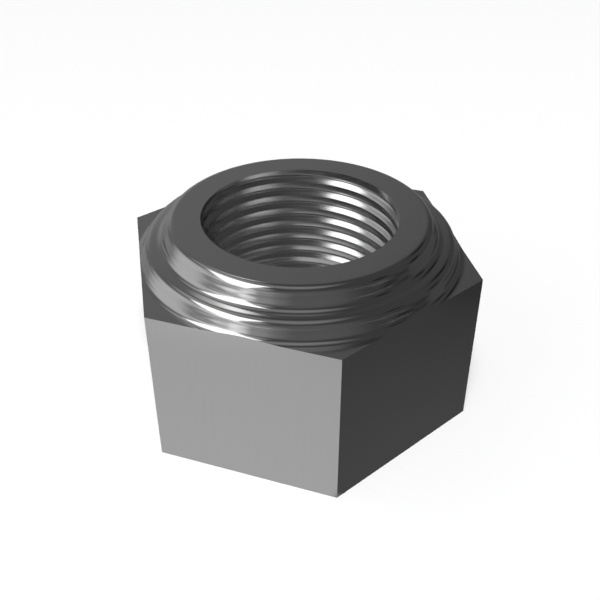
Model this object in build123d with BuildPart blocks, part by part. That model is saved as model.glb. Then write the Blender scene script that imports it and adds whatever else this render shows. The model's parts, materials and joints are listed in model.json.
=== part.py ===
"""Steel lock nut: a hexagon with a round collar turned on it in two rings.

One solid, made as the real one is: a length of hexagon bar is turned down to a
stepped collar at one end, and the bore is drilled to the thread's minor diameter.
The origin is the middle of the bearing face, +Z runs along the bore to the collar,
and two of the hexagon's corners lie on the Y axis. Lengths are millimetres.
"""
import os
from math import cos, radians, sqrt, tan

from build123d import *

os.makedirs("parts", exist_ok=True)

# Thread: metric fine, M20 x 1.5
thread_major = 20.0
thread_pitch = 1.5
entry_clearance = 0.8
entry_angle = 120.0

# Hexagon
across_flats = 30.0
hexagon_height = 15.8

# Collar, measured to the sharp corners that the edges would have without their rounding
crown_wall = 2.99
ring_lean = 21.6
upper_ring_height = 1.79
lower_ring_height = 1.605
shelf_width = 1.455
shelf_fall_angle = 6.6
edge_radius = 0.8
root_radius = 0.78

# Bore: an internal 60 degree thread keeps five eighths of its sharp height
minor_radius = (thread_major - 2 * 5 / 8 * thread_pitch * sqrt(3) / 2) / 2
entry_radius = (thread_major + entry_clearance) / 2

# Heights of the collar's corners, from the bearing face up
lip_height = hexagon_height + lower_ring_height
waist_height = lip_height + shelf_width * tan(radians(shelf_fall_angle))
total_height = waist_height + upper_ring_height

# Radii of the same corners, from the top down
crown_radius = minor_radius + crown_wall
waist_radius = crown_radius + upper_ring_height * tan(radians(ring_lean))
lip_radius = waist_radius + shelf_width
foot_radius = lip_radius + lower_ring_height * tan(radians(ring_lean))

# The turned section runs out past the hexagon's corners
corner_radius = across_flats / 2 / cos(radians(30))
stock_radius = max(corner_radius, foot_radius) + 2 * root_radius

with BuildPart() as lock_nut:
    # Hexagon bar, cut off at the nut's full height
    with BuildSketch():
        RegularPolygon(across_flats / 2, 6, major_radius=False, rotation=30)
    extrude(amount=total_height)

    # Turning: two leaning rings, a sloping shelf between them and a blend at every corner.
    # The lowest blend is wider than the flats, so the hexagon trims it into six arcs.
    with BuildSketch(Plane.XZ):
        with BuildLine():
            contour = FilletPolyline(
                (0, total_height),
                (crown_radius, total_height),
                (waist_radius, waist_height),
                (lip_radius, lip_height),
                (foot_radius, hexagon_height),
                (stock_radius, hexagon_height),
                radius=[edge_radius, root_radius, edge_radius, root_radius],
            )
            Polyline(contour @ 1, (stock_radius, 0), (0, 0), contour @ 0)
        make_face()
    revolve(axis=Axis.Z, mode=Mode.INTERSECT)

    # Bore through the nut, opened by a cone where a bolt enters at the bearing face
    bearing_face = lock_nut.faces().sort_by(Axis.Z)[0]
    with Locations(Plane(bearing_face)):
        CounterSinkHole(minor_radius, entry_radius, counter_sink_angle=entry_angle)

lock_nut.part.label = "lock_nut"
export_step(lock_nut.part, "parts/lock_nut.step")

print(f"height {total_height:.3f}, bore radius {minor_radius:.3f}")
print(f"radii: crown {crown_radius:.3f}, waist {waist_radius:.3f}, lip {lip_radius:.3f}, foot {foot_radius:.3f}")
print(f"volume {lock_nut.part.volume:.1f} mm3, solids {len(lock_nut.part.solids())}")
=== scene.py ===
# %% [markdown]
# # A steel lock nut, from imported solid to picture
#
# This lesson dresses a lock nut that another program has already built to size. A lock nut grips
# its bolt, so that it doesn't shake loose. This one is all steel: a hexagon for the wrench, a
# stepped round collar above it, and a threaded hole right through.
#
# The first step loads the built model. It fixes the place and the size of everything else: the
# finished nut has to fill the same box.

# %% The imported model
import json
from math import cos, radians, sin, tan

import bmesh
import bpy
import numpy as np
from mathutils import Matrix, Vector


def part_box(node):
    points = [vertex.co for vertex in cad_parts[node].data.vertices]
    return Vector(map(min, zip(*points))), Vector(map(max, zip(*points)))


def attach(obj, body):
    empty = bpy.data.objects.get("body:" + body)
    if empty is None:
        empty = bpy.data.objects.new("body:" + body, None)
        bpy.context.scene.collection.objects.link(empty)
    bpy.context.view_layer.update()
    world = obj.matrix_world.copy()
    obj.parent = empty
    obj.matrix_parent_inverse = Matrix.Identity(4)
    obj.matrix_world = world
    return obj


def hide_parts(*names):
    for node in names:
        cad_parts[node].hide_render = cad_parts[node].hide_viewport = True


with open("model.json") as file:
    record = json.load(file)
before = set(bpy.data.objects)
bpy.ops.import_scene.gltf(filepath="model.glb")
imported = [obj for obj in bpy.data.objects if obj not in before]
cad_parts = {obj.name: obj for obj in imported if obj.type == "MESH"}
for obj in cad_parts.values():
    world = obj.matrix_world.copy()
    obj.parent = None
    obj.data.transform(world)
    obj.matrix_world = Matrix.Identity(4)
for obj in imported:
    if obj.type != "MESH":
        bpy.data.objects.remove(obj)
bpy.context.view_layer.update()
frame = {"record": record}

MM = 0.001

# %% [markdown]
# ## The camera
#
# The photograph was taken close to the nut, from above and a little to the left of one corner of
# the hexagon. A hexagon has known corners, so the camera's place could be worked out from where
# they fall in the picture. It looks at a point on the nut's axis, about halfway up.

# %% The camera
def direction(azimuth, elevation):
    """Unit vector for two angles in degrees: round the axis from +X, and up from the floor."""
    around = radians(azimuth)
    up = radians(elevation)
    return Vector((cos(around) * cos(up), sin(around) * cos(up), sin(up)))


def place(thing, location, target):
    """Links an object into the scene at a location, with its -Z axis aimed at the target."""
    bpy.context.scene.collection.objects.link(thing)
    thing.location = location
    thing.rotation_mode = "QUATERNION"
    thing.rotation_quaternion = (target - location).to_track_quat("-Z", "Y")


aim_height = 9.63
camera_azimuth = -100.979
camera_elevation = 35.03
camera_distance = 82.7
aim = Vector((0, 0, aim_height * MM))
camera_data = bpy.data.cameras.new("camera")
camera_data.lens = 50
camera_data.sensor_width = 36
camera_data.clip_start = 1 * MM
camera_data.clip_end = 10
camera = bpy.data.objects.new("camera", camera_data)
place(camera, aim + direction(camera_azimuth, camera_elevation) * camera_distance * MM, aim)
bpy.context.scene.camera = camera
bpy.context.scene.view_settings.view_transform = "Standard"
print("camera at", [round(value / MM, 2) for value in camera.location], "mm")

# %% [markdown]
# ## The light
#
# Smooth steel has hardly a colour of its own: it is seen by what it mirrors. So the light is laid
# out as bright and dark places all round the nut, and each of them can be found again in the metal.
#
# A place with a soft edge is a glow: it is full in one direction and fades with the angle from it.
# The cosine of that angle is the dot product of two unit vectors, so one node measures it and a
# second one turns it into a brightness. A glow with a negative strength is a dark place.

# %% Glows
def glows(tree, way, base, spots):
    """Builds base + the sum of all glows in a node tree, for the unit vectors in the socket way.

    A spot is (azimuth, elevation, full, faded, strength): full strength within `full` degrees of
    its middle and none past `faded`, with a smooth step in the cosine of the angle between them.
    """
    total = None
    for azimuth, elevation, full, faded, strength in spots:
        along = tree.nodes.new("ShaderNodeVectorMath")
        along.operation = "DOT_PRODUCT"
        along.inputs[1].default_value = direction(azimuth, elevation)
        tree.links.new(way, along.inputs[0])
        fade = tree.nodes.new("ShaderNodeMapRange")
        fade.interpolation_type = "SMOOTHSTEP"
        fade.inputs["From Min"].default_value = cos(radians(faded))
        fade.inputs["From Max"].default_value = cos(radians(full))
        fade.inputs["To Max"].default_value = strength
        tree.links.new(along.outputs["Value"], fade.inputs["Value"])
        both = tree.nodes.new("ShaderNodeMath")
        both.inputs[0].default_value = base
        if total is not None:
            tree.links.new(total, both.inputs[0])
        tree.links.new(fade.outputs["Result"], both.inputs[1])
        total = both.outputs["Value"]
    return total


# %% [markdown]
# The room is a dim grey. Broad glows low on the left light the left side of the collar, and the
# two small bright ones behind the nut are the streak on the collar's sloping shelf. Four small
# dark places on the right stand for the dark dashes that the photograph shows in the collar there.

# %% The room
room_base = 0.06
room_spots = [
    # Left, low and broad
    (-178, 12, 22, 46, 0.22),
    (-198, 16, 10, 30, 0.32),
    (-160, 20, 6, 18, 0.50),
    (-151, 9, 3, 13, 0.35),
    # Front left, low, where the wide light ends
    (-141, 6, 2, 9, 0.57),
    (-134, 6, 1, 18, 0.13),
    (-129, 6, 1, 25, 0.09),
    # Front and back, low and dim
    (-98, 8, 8, 50, 0.062),
    (-258, 8, 6, 22, 0.12),
    # Left, halfway up, in front and behind
    (-146, 38, 8, 20, 0.35),
    (-228, 58, 6, 20, 0.30),
    # Back: one broad and dim, and the two small bright ones
    (105, 2, 25, 60, 0.105),
    (90, 47, 1.2, 3.2, 1.20),
    (92, 45.3, 1.5, 5.5, 0.50),
    # Overhead
    (-118, 80, 8, 24, 0.12),
    (0, 90, 13, 22, 0.07),
    # Right: the four small dark places
    (-29, 0, 2, 11, -0.035),
    (-31, 30, 2, 9, -0.05),
    (4, 18, 2, 9, -0.05),
    (40, 36, 2, 9, -0.05),
]
world = bpy.data.worlds.new("studio room")
bpy.context.scene.world = world
world.use_nodes = True
looking = world.node_tree.nodes.new("ShaderNodeTexCoord").outputs["Generated"]
world.node_tree.links.new(glows(world.node_tree, looking, room_base, room_spots),
                          world.node_tree.nodes["Background"].inputs["Color"])
print("the room has", len(room_spots), "glows")

# %% [markdown]
# Three more things are mirrored, and each of them is a sheet with an edge. A large pale sheet hangs
# level above the nut and reaches far out to the left: it is the broad white wedge on the collar,
# and the bright lines in the bore. Its eight corners are given by the directions in which they lie,
# seen from the nut's foot. The other two sheets lie on the floor, round the foot of the nut and
# further out. They are a painted reflection of the floor: painted shade on the right, which keeps
# that side of the steel dark, and painted light on the left, where they are pale.
#
# The metal alone mirrors them. They are hidden from the camera, cast no shadow and leave the floor
# as it is, so the picture keeps its white.

# %% The sheets
nut_foot = 17 * MM
foot_reach = 36 * MM
floor_reach = 1.5


def sheet(name, points, faces, base, spots, foot_light=0):
    """A glowing sheet whose brightness depends on the direction in which a point of it lies.

    The brightness is base + glows + foot_light, which fades to nothing between the distances
    nut_foot and foot_reach from the middle of the nut's bearing face.
    """
    mesh = bpy.data.meshes.new(name)
    mesh.from_pydata(points, [], faces)
    made = bpy.data.objects.new(name, mesh)
    bpy.context.scene.collection.objects.link(made)
    made.visible_camera = False
    made.visible_diffuse = False
    made.visible_shadow = False
    paper = bpy.data.materials.new(name)
    paper.use_nodes = True
    tree = paper.node_tree
    tree.nodes.remove(tree.nodes["Principled BSDF"])
    place_on_sheet = tree.nodes.new("ShaderNodeTexCoord").outputs["Object"]
    way = tree.nodes.new("ShaderNodeVectorMath")
    way.operation = "NORMALIZE"
    tree.links.new(place_on_sheet, way.inputs[0])
    distance = tree.nodes.new("ShaderNodeVectorMath")
    distance.operation = "LENGTH"
    tree.links.new(place_on_sheet, distance.inputs[0])
    near = tree.nodes.new("ShaderNodeMapRange")
    near.inputs["From Min"].default_value = nut_foot
    near.inputs["From Max"].default_value = foot_reach
    near.inputs["To Min"].default_value = foot_light
    near.inputs["To Max"].default_value = 0
    tree.links.new(distance.outputs["Value"], near.inputs["Value"])
    both = tree.nodes.new("ShaderNodeMath")
    tree.links.new(glows(tree, way.outputs["Vector"], base, spots), both.inputs[0])
    tree.links.new(near.outputs["Result"], both.inputs[1])
    shine = tree.nodes.new("ShaderNodeEmission")
    tree.links.new(both.outputs["Value"], shine.inputs["Color"])
    tree.links.new(shine.outputs["Emission"], tree.nodes["Material Output"].inputs["Surface"])
    mesh.materials.append(paper)


sheet_height = 0.8
sheet_corners = [(-142, 67), (-180, 65.5), (-200, 62.5), (-213, 57),
                 (-212, 50), (-179, 38.5), (-153.3, 14.5), (-142, 14.7)]
corner_points = [direction(azimuth, elevation) * sheet_height / sin(radians(elevation))
                 for azimuth, elevation in sheet_corners]
sheet("sheet above", corner_points, [range(len(corner_points))], 1.8, [(-150, 50, 10, 30, 0.2)])

ring_hole = 0.1 * MM
ring_sides = 48
ring_level = -0.01 * MM


def floor_ring(inner, outer):
    """Points and four-sided faces of a flat ring that lies on the floor, between two radii.

    A point is (radius * cos angle, radius * sin angle, ring_level).
    """
    around = np.radians(np.linspace(0, 360, ring_sides + 1))
    circle = np.stack([np.cos(around), np.sin(around), 0 * around], axis=-1)
    number = np.arange(2 * len(circle)).reshape(2, -1)
    faces = np.stack([number[0, :-1], number[1, :-1], number[1, 1:], number[0, 1:]], axis=-1)
    return np.concatenate([circle * inner, circle * outer]) + (0, 0, ring_level), faces


# Painted shade and painted light on the floor, seen only in the steel: dark to the right of the nut, pale
# to the left
sheet("sheet at the foot", *floor_ring(ring_hole, foot_reach), 0.225, [
    (-150, 0, 57, 63, 0.285),
    (-18, 0, 69, 75, -0.173),
], foot_light=0.03)
# Further out the same painted reflection: painted shade on the right, paler places on the left
sheet("sheet on the floor", *floor_ring(foot_reach, floor_reach), 0.245, [
    (-195, 0, 6, 22, 0.34),
    (-146, 0, 10, 30, 0.29),
    (-118, 0, 5, 35, 0.15),
    (-18, 0, 45, 90, -0.17),
    (-19, 0, 2, 11, -0.035),
])
print("sheet above:", len(sheet_corners), "corners,", sheet_height, "m up")

# %% [markdown]
# The floor is plain and pale, and lies a hair below the nut. Its white is its own colour, under a
# lamp that would show white paper a little short of full white. The room's own light adds the rest.
#
# The lamp stands behind the camera, so the soft shadow falls behind the nut. The metal doesn't
# mirror it. Its power follows from what the floor needs: the light that reaches a level floor is
# power / (pi * distance^2) * sin(elevation), and white paper looks as bright as that light / pi.

# %% The floor and its lamp
floor_level = -0.02 * MM
floor_corners = [(side * floor_reach, end * floor_reach, floor_level)
                 for side, end in [(-1, -1), (1, -1), (1, 1), (-1, 1)]]
floor_mesh = bpy.data.meshes.new("floor")
floor_mesh.from_pydata(floor_corners, [], [(0, 1, 2, 3)])
floor = bpy.data.objects.new("floor", floor_mesh)
bpy.context.scene.collection.objects.link(floor)
floor_finish = bpy.data.materials.new("pale floor")
floor_finish.use_nodes = True
floor_shader = floor_finish.node_tree.nodes["Principled BSDF"]
floor_shader.inputs["Base Color"].default_value = (0.96, 0.96, 0.96, 1)
floor_shader.inputs["Roughness"].default_value = 0.9
floor_shader.inputs["Specular IOR Level"].default_value = 0.0
floor_mesh.materials.append(floor_finish)

lamp_azimuth = -101
lamp_elevation = 60
lamp_distance = 3.0
floor_light = 0.94
lamp = bpy.data.lights.new("floor lamp", "AREA")
lamp.shape = "SQUARE"
lamp.size = 1.2
lamp.energy = floor_light * np.pi * np.pi * lamp_distance ** 2 / sin(radians(lamp_elevation))
lamp_holder = bpy.data.objects.new("floor lamp", lamp)
place(lamp_holder, direction(lamp_azimuth, lamp_elevation) * lamp_distance, Vector((0, 0, 0)))
lamp_holder.visible_camera = False
lamp_holder.visible_glossy = False
print("floor lamp:", round(lamp.energy, 1), "W")

# %% [markdown]
# ## The turned collar
#
# The real collar is turned on a lathe. The bar spins, and the tool's point runs along one line,
# so the collar's height depends on the distance from the axis alone. That makes a surface of
# revolution: draw the line once, as pairs of distance and height, and carry it round the axis.
#
# The line has straight parts with a rounding between them, where the tool's nose has left its own
# radius. A function makes it from the corners that the line would have without any rounding.

# %% The turned outline
wave_step = 0.045
wave_width = 0.09


def rounded_outline(corners, roundings, arc_steps, line_step, waves=()):
    """Points along a line whose corners are rounded, as an array of (distance, height) pairs.

    Where the line turns by an angle a, an arc of radius q touches both straight parts at a
    distance of q * tan(a / 2) from the corner. The point at an angle b along the arc is
    start + q * (sin b * way in + (1 - cos b) * way to the centre).

    A straight part that has a wave leaves its chord: the lift off the chord is
    height * (step(share) - share), where share runs from 0 to 1 along the part, and
    step(share) = 1 / (1 + exp(-(share - 1/2) * length / wave_width)) climbs from 0 to 1 at its
    middle. The waves are a dict from the part's number, counted from 0, to the wave's height.
    """
    points = np.asarray(corners, float)
    steps = np.diff(points, axis=0)
    ways = steps / np.linalg.norm(steps, axis=1)[:, None]
    sizes = dict(waves)
    rows = []
    last = points[0]
    for part, (corner, way_in, way_out) in enumerate(zip(points[1:-1], ways[:-1], ways[1:])):
        turn = np.arccos(way_in @ way_out)
        reach_back = roundings[part] * tan(turn / 2)
        start = corner - way_in * reach_back
        length = np.linalg.norm(start - last)
        wave = sizes.get(part, 0)
        pieces = max(int(np.ceil(length / (wave_step if wave else line_step))), 1)
        share = np.arange(pieces)[:, None] / pieces
        lift = wave * (1 / (1 + np.exp((0.5 - share) * length / wave_width)) - share)
        across = np.array([-way_in[1], way_in[0]])
        rows.append(last + (start - last) * share + across * lift)
        centre_way = (way_out - way_in * cos(turn)) / sin(turn)
        angle = np.linspace(0, turn, arc_steps, endpoint=False)[:, None]
        rows.append(start + roundings[part] * (np.sin(angle) * way_in + (1 - np.cos(angle)) * centre_way))
        last = corner + way_out * reach_back
    rows.append(np.stack([last, points[-1]]))
    return np.concatenate(rows)


# %% [markdown]
# The nut's height and its width across the flats are read from the model's box, and the bore from
# its record. The rest are the collar's own sizes: two leaning rings with a sloping shelf between.
#
# On each ring the photograph shows a fine bright line, level and half way up. A wave in the wall
# gives it: over a third of a millimetre the wall leans a few degrees more than elsewhere. With a
# height of 0.03 mm it is too fine for the built solid, so it is added here.
#
# The turned line runs out past the hexagon's corners, as the tool does.

# %% The collar's sizes
node_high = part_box("lock_nut")[1]
total_height = node_high.z / MM
across_flats = 2 * node_high.x / MM
thread_mount = [mount for mount in frame["record"]["mounts"] if mount["name"] == "thread"][0]
minor_radius = thread_mount["dims"]["r_mm"]

hexagon_height = 15.8
lip_height = 17.405
waist_height = 17.573
crown_radius = 12.178
waist_radius = 12.887
lip_radius = 14.342
foot_radius = 14.977
stock_radius = 18.5
edge_rounding = 0.8
root_rounding = 0.78
wave_heights = {1: 0.034, 3: 0.026}
collar_corners = [(minor_radius, total_height), (crown_radius, total_height),
                  (waist_radius, waist_height), (lip_radius, lip_height),
                  (foot_radius, hexagon_height), (stock_radius, hexagon_height)]
outline = rounded_outline(collar_corners, [edge_rounding, root_rounding] * 2,
                          arc_steps=12, line_step=0.2, waves=wave_heights)
print("outline:", len(outline), "points, up to", outline[:, 1].max().round(3), "mm high")

# %% [markdown]
# A surface of revolution is a grid: rows along the line, columns round the axis. The columns are
# counted so that one of them falls on every corner of the hexagon.

# %% A grid round the axis
columns = 288
angles = np.linspace(0, 2 * np.pi, columns + 1)


def grid(distance, height):
    """Points and four-sided faces of a surface that is given as two arrays, rows by columns.

    A point is (distance * cos angle, distance * sin angle, height).
    """
    distance, height, around = np.broadcast_arrays(distance, height, angles)
    points = np.stack([distance * np.cos(around), distance * np.sin(around), height], axis=-1)
    number = np.arange(distance.size).reshape(distance.shape)
    faces = np.stack([number[:-1, :-1], number[:-1, 1:], number[1:, 1:], number[1:, :-1]], axis=-1)
    return points.reshape(-1, 3), faces.reshape(-1, 4)


# %% [markdown]
# The lowest rounding is wider than the flats, so the hexagon cuts it off along six arcs. The grid
# therefore ends on the hexagon and not on a circle: from 14.9 mm outwards each column runs to its
# own edge of the hexagon, and finds its height on the turned line. Seen from the axis, a flat at
# the distance f lies f / cos(angle from its middle) away. The rows crowd together at their start,
# where the rounding bends.

# %% The collar and the shoulder
half_side = np.pi / 6
from_flat_middle = (angles + half_side) % (2 * half_side) - half_side
hexagon_edge = across_flats / 2 / np.cos(from_flat_middle)

shoulder_start = 14.9
shoulder_rows = 17
crowding = 1.6
turned = outline[:np.argmax(outline[:, 0] >= shoulder_start)]
share_out = np.linspace(0, 1, shoulder_rows)[:, None] ** crowding
shoulder = shoulder_start + (hexagon_edge - shoulder_start) * share_out
shoulder_height = np.interp(shoulder, outline[:, 0], outline[:, 1])
top = grid(np.concatenate([turned[:, :1] + 0 * angles, shoulder]),
           np.concatenate([turned[:, 1:] + 0 * angles, shoulder_height]))
print("collar and shoulder:", len(top[1]), "faces, edge of the flats at",
      shoulder_height[-1].min().round(3), "to", shoulder_height[-1].max().round(3), "mm")

# %% [markdown]
# The six flats come from the drawn hexagon bar, and stay as they are. Each column goes straight
# down from the shoulder's edge. The face that bears on the work runs in from there to the mouth of
# the bore, which is opened a little wider than the thread so that a bolt finds its way in.

# %% The flats and the bearing face
flat_rows = 5
face_rows = 4
flats = grid(hexagon_edge, shoulder_height[-1] * np.linspace(1, 0, flat_rows)[:, None])
entry_radius = 10.4
share_in = np.linspace(1, 0, face_rows)[:, None]
bearing_face = grid(entry_radius + (hexagon_edge - entry_radius) * share_in, 0 * share_in)
print("flats:", len(flats[1]), "faces, bearing face:", len(bearing_face[1]))

# %% [markdown]
# ## The thread
#
# A screw thread is a groove on a helix: for each turn round the axis it climbs by one pitch. So
# one drawing of the groove is enough. If the climb so far is taken off a point's height, what
# remains says where in the groove's section the point lies, in every column.
#
# The groove keeps the flat crests wide and its sides at 45 degrees, as they look in the photograph.
# There it also ends a little below the top face, with a plain rim above it, so it fades out here.

# %% The thread's section
pitch = 1.5
crest_half = 0.2 * pitch
groove_depth = pitch / 2 - crest_half
section_corners = [(0, 0), (crest_half, 0), (pitch / 2, groove_depth),
                   (pitch - crest_half, 0), (pitch, 0)]
groove_rounding = 0.07
section = rounded_outline(section_corners, [groove_rounding] * 3, arc_steps=3, line_step=0.35)[:-1]
print("groove:", round(groove_depth, 3), "mm deep, section of", len(section), "points")

# %% [markdown]
# The bore's wall is one more grid, whose rows are the points of the section, turn after turn. The
# rows climb with the angle, so each edge of the groove is a row of its own and stays crisp all the
# way round. What would stick out above or below the nut is pressed flat against its two ends.

# %% The bore
run_out = 1.1
start_turn = 0.45
entry_half_angle = 60


def bore(place_in_turn, height):
    """Distance from the axis inside the nut.

    It is the minor radius + groove * s^2 * (3 - 2 s), where s climbs from 0 at the top face to 1
    at run_out below it. Near the bearing face the entry cone is wider than that and takes over:
    entry_radius - height * tan(entry_half_angle), the angle between its sides and the axis.
    """
    groove = np.interp(place_in_turn, np.append(section[:, 0], pitch), np.append(section[:, 1], 0))
    share_below = np.clip((total_height - height) / run_out, 0, 1)
    cut = minor_radius + groove * share_below ** 2 * (3 - 2 * share_below)
    return np.maximum(cut, entry_radius - height * tan(radians(entry_half_angle)))


turns = int(np.ceil(total_height / pitch)) + 1
along = (section[None, :, 0] + pitch * np.arange(-1, turns + 1)[:, None]).reshape(-1)[::-1, None]
climb = pitch * (angles / (2 * np.pi) - start_turn)
thread_height = np.clip(along + climb, 0, total_height)
inside = grid(bore((thread_height - climb) % pitch, thread_height), thread_height)
print("bore:", turns, "turns,", len(inside[1]), "faces")

# %% [markdown]
# ## One closed skin
#
# The four surfaces meet point on point, so merging the points that coincide closes the skin. The
# same step closes the seam where the last column meets the first, and removes the rows of the
# thread that were pressed flat against the two ends. The faces are turned outward only after
# that, because the test needs a closed skin to tell inside from outside. A closed skin has no
# open edges, and the count below should be 0.
#
# The drawn flats and the tapped bore have another finish than the turned faces. So each face
# keeps two numbers that say whether it is drawn and whether it is tapped, for the material.

# %% One closed mesh
parts = [top, flats, bearing_face, inside]
first_points = np.cumsum([0] + [len(points) for points, faces in parts[:-1]])
all_points = np.concatenate([points for points, faces in parts]) * MM
all_faces = np.concatenate([faces + first for (points, faces), first in zip(parts, first_points)])
face_counts = [len(faces) for points, faces in parts]
drawn = np.repeat([0.0, 1.0, 0.0, 0.0], face_counts)
tapped = np.repeat([0.0, 0.0, 0.0, 1.0], face_counts)

merge_distance = 0.0001 * MM
crease_angle = 35
nut_mesh = bpy.data.meshes.new("steel_lock_nut")
nut_mesh.from_pydata(all_points, [], all_faces)
nut_mesh.attributes.new("drawn", "FLOAT", "FACE").data.foreach_set("value", drawn)
nut_mesh.attributes.new("tapped", "FLOAT", "FACE").data.foreach_set("value", tapped)
work = bmesh.new()
work.from_mesh(nut_mesh)
bmesh.ops.remove_doubles(work, verts=work.verts, dist=merge_distance)
bmesh.ops.recalc_face_normals(work, faces=work.faces)
open_edges = sum(not edge.is_manifold for edge in work.edges)
work.to_mesh(nut_mesh)
work.free()
nut_mesh.polygons.foreach_set("use_smooth", np.ones(len(nut_mesh.polygons), bool))
nut_mesh.set_sharp_from_angle(angle=radians(crease_angle))
nut_mesh.update()
nut = bpy.data.objects.new("steel_lock_nut", nut_mesh)
bpy.context.scene.collection.objects.link(nut)
triangles = sum(len(face.vertices) - 2 for face in nut_mesh.polygons)
print("nut:", len(nut_mesh.vertices), "points,", triangles, "triangles, open edges:", open_edges)

# %% [markdown]
# The nut is one piece without joints, so it rides on the model's root. It stands for the built
# solid, and it is the piece that carries the steel.

# %% The nut's place in the frame
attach(nut, "root")
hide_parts("lock_nut")
print("nut box in mm:", [round(size / MM, 3) for size in nut.dimensions])

# %% [markdown]
# ## The steel
#
# The collar was turned with a fine feed and shines almost like a mirror. The tool leaves shallow
# rings in its walls: a noise that is read at the height alone is the same all round, so it makes
# rings. A relief of a few thousandths of a millimetre draws the mirror images out into streaks.
#
# The flats were drawn through a die as a bar. Their grain runs along the nut's axis, so the second
# noise is stretched in height. It hardly shows in the photograph, which has the flats plain and
# duller than the collar. The third noise is broad and soft and varies the shine everywhere.

# %% The steel
steel = bpy.data.materials.new("turned and drawn steel")
steel.use_nodes = True
steel_nodes = steel.node_tree.nodes
steel_links = steel.node_tree.links
shader = steel_nodes["Principled BSDF"]
shader.inputs["Metallic"].default_value = 1.0


def node(kind, inputs=(), **settings):
    """Adds a node to the steel. Inputs are a dict of sockets to link from, or values to set."""
    made = steel_nodes.new(kind)
    for name, value in settings.items():
        setattr(made, name, value)
    for socket, value in dict(inputs).items():
        if isinstance(value, bpy.types.NodeSocket):
            steel_links.new(value, made.inputs[socket])
        else:
            made.inputs[socket].default_value = value
    return made


position = node("ShaderNodeTexCoord").outputs["Object"]
height_up = node("ShaderNodeSeparateXYZ", {0: position}).outputs["Z"]
ring_noise = node("ShaderNodeTexNoise", {"W": height_up, "Scale": 2600.0, "Detail": 1.0},
                  noise_dimensions="1D").outputs["Fac"]

grain_squeeze = 0.03
grain_place = node("ShaderNodeVectorMath", {0: position, 1: (1, 1, grain_squeeze)},
                   operation="MULTIPLY").outputs["Vector"]
grain_noise = node("ShaderNodeTexNoise",
                   {"Vector": grain_place, "Scale": 5000.0, "Detail": 2.0}).outputs["Fac"]
smudge = node("ShaderNodeTexNoise", {"Vector": position, "Scale": 160.0, "Detail": 2.0}).outputs["Fac"]
is_drawn = node("ShaderNodeAttribute", attribute_name="drawn").outputs["Fac"]
is_tapped = node("ShaderNodeAttribute", attribute_name="tapped").outputs["Fac"]

# %% [markdown]
# The finishes are blended with the numbers that each face carries. A Principled shader that is
# fully metallic needs only a tint, a roughness and a normal: the tint is the share of the light
# that the steel throws back, and the roughness says how far a mirror image is blurred.

# %% The three finishes
def blend(share, first, second):
    """(1 - share) * first + share * second, where each can be a number or a socket."""
    return node("ShaderNodeMix", {"Factor": share, "A": first, "B": second}).outputs["Result"]


def between(value, low, high):
    """Stretches a noise, which runs from 0 to 1, over the range from low to high."""
    return node("ShaderNodeMapRange", {"Value": value, "To Min": low, "To Max": high}).outputs["Result"]


relief_height = 0.019 * MM
tint = blend(is_drawn, between(ring_noise, 0.62, 0.66), between(grain_noise, 0.63, 0.655))
steel_links.new(tint, shader.inputs["Base Color"])
roughness = blend(is_drawn, between(smudge, 0.08, 0.14), between(smudge, 0.16, 0.22))
roughness = blend(is_tapped, roughness, between(smudge, 0.17, 0.23))
steel_links.new(roughness, shader.inputs["Roughness"])
fine_relief = blend(is_tapped, blend(is_drawn, ring_noise, between(grain_noise, 0, 0.04)), 0.0)
relief = node("ShaderNodeBump", {"Height": fine_relief, "Distance": relief_height})
steel_links.new(relief.outputs["Normal"], shader.inputs["Normal"])
nut_mesh.materials.append(steel)
print("steel:", len(steel_nodes), "nodes")
